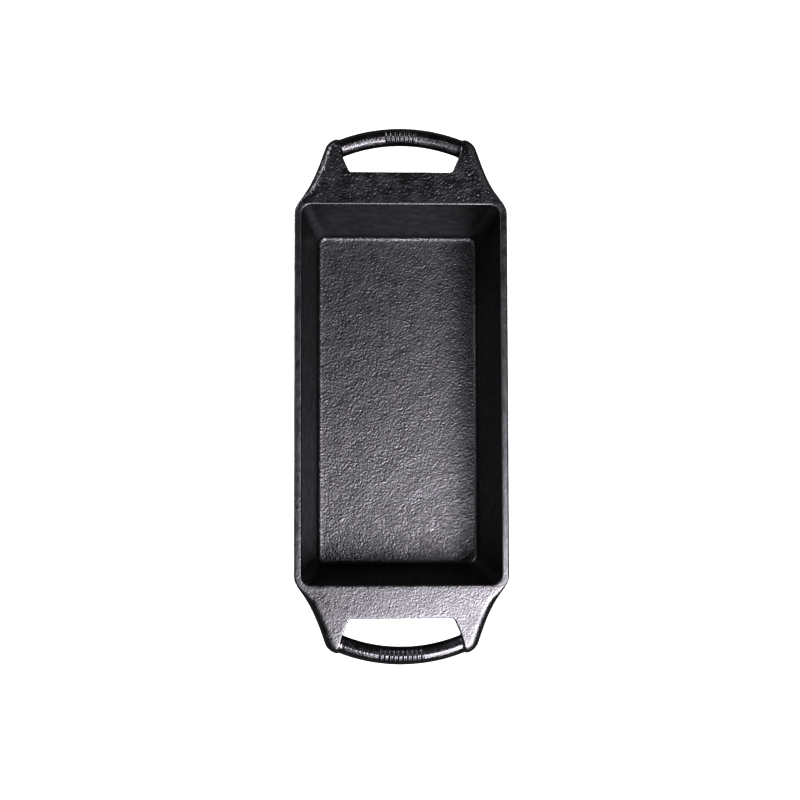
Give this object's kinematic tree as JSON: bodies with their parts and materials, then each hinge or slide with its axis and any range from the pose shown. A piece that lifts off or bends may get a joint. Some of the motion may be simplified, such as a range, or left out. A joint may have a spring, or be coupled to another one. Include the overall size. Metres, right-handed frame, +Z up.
{
  "type": "loaf pan",
  "caption": "Deep rectangular cast-iron loaf pan with drafted walls, flat end webs and bowed grip bars for lifting and pressing.",
  "frame": {"origin": "centre of the flat bottom face", "axes": "+X across the pan, +Y along it from handle to handle, +Z up out of the basin"},
  "size_m": [0.122, 0.3074, 0.07],
  "materials": {
    "casting": "seasoned black iron, pebbled sand-cast grain, satin"
  },
  "bodies": {
    "root": {"loaf_pan_casting": "casting"}
  },
  "joints": []
}
